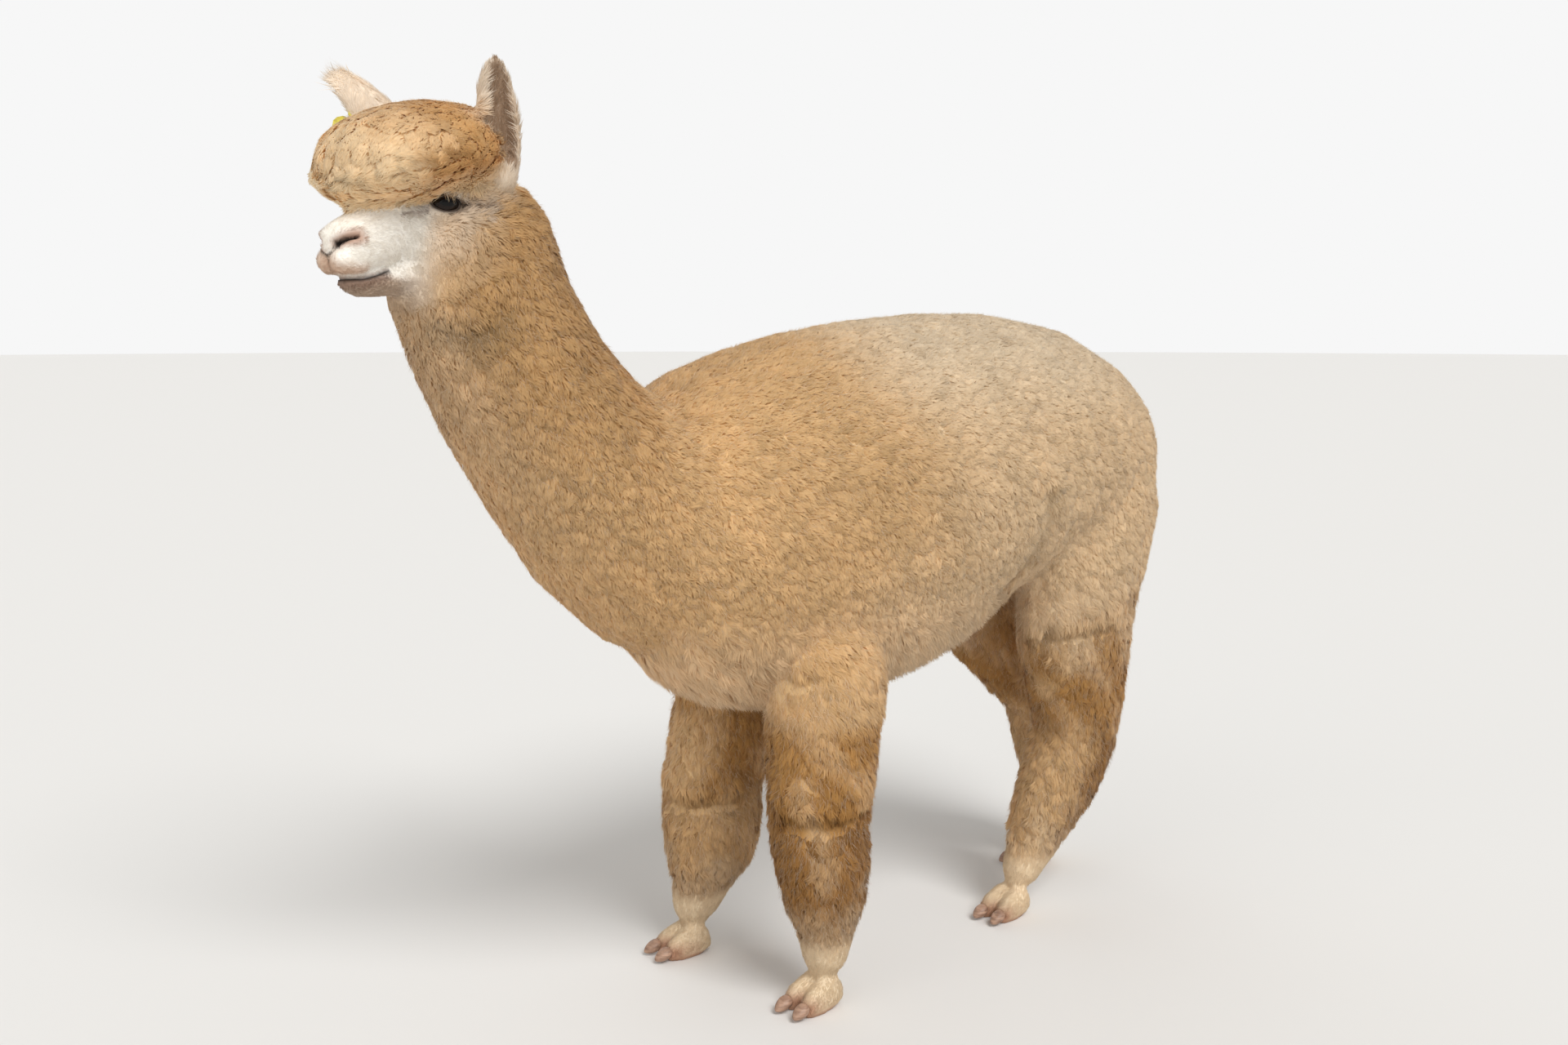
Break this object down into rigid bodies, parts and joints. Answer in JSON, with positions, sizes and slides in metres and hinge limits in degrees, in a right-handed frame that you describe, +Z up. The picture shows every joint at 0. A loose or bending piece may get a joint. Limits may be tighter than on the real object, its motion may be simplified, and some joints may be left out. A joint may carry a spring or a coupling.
{
  "type": "alpaca",
  "caption": "Life-size huacaya alpaca in full fawn fleece with a white face, standing still on its feet with its head raised, a plain round tag in one ear.",
  "frame": {"origin": "middle of the animal's outline seen from above, on the ground", "axes": "+Z up; -Y is forwards, from tail to nose; +X is the animal's left"},
  "size_m": [0.4998, 1.5658, 1.3757],
  "materials": {
    "fleece": "dense crimped fawn fleece, paler along the back",
    "face_hair": "short white hair, pinkish brown on the nose and lips",
    "foot_hair": "short cream hair",
    "nail": "dull brown horn",
    "eye": "wet black",
    "tag": "weathered yellow, plain"
  },
  "bodies": {
    "root": {"head": "face_hair", "muzzle": "face_hair", "chin": "face_hair", "topknot": "fleece", "ear_left": "fleece", "ear_right": "fleece", "ear_tag": "tag", "eye_left": "eye", "eye_right": "eye", "neck": "fleece", "trunk": "fleece", "tail": "fleece", "foreleg_left_upper": "fleece", "foreleg_left_lower": "fleece", "foreleg_left_foot": "foot_hair", "foreleg_right_upper": "fleece", "foreleg_right_lower": "fleece", "foreleg_right_foot": "foot_hair", "hindleg_left_upper": "fleece", "hindleg_left_lower": "fleece", "hindleg_left_foot": "foot_hair", "hindleg_right_upper": "fleece", "hindleg_right_lower": "fleece", "hindleg_right_foot": "foot_hair", "nail_foreleg_left_a": "nail", "nail_foreleg_left_b": "nail", "nail_foreleg_right_a": "nail", "nail_foreleg_right_b": "nail", "nail_hindleg_left_a": "nail", "nail_hindleg_left_b": "nail", "nail_hindleg_right_a": "nail", "nail_hindleg_right_b": "nail"}
  },
  "joints": []
}
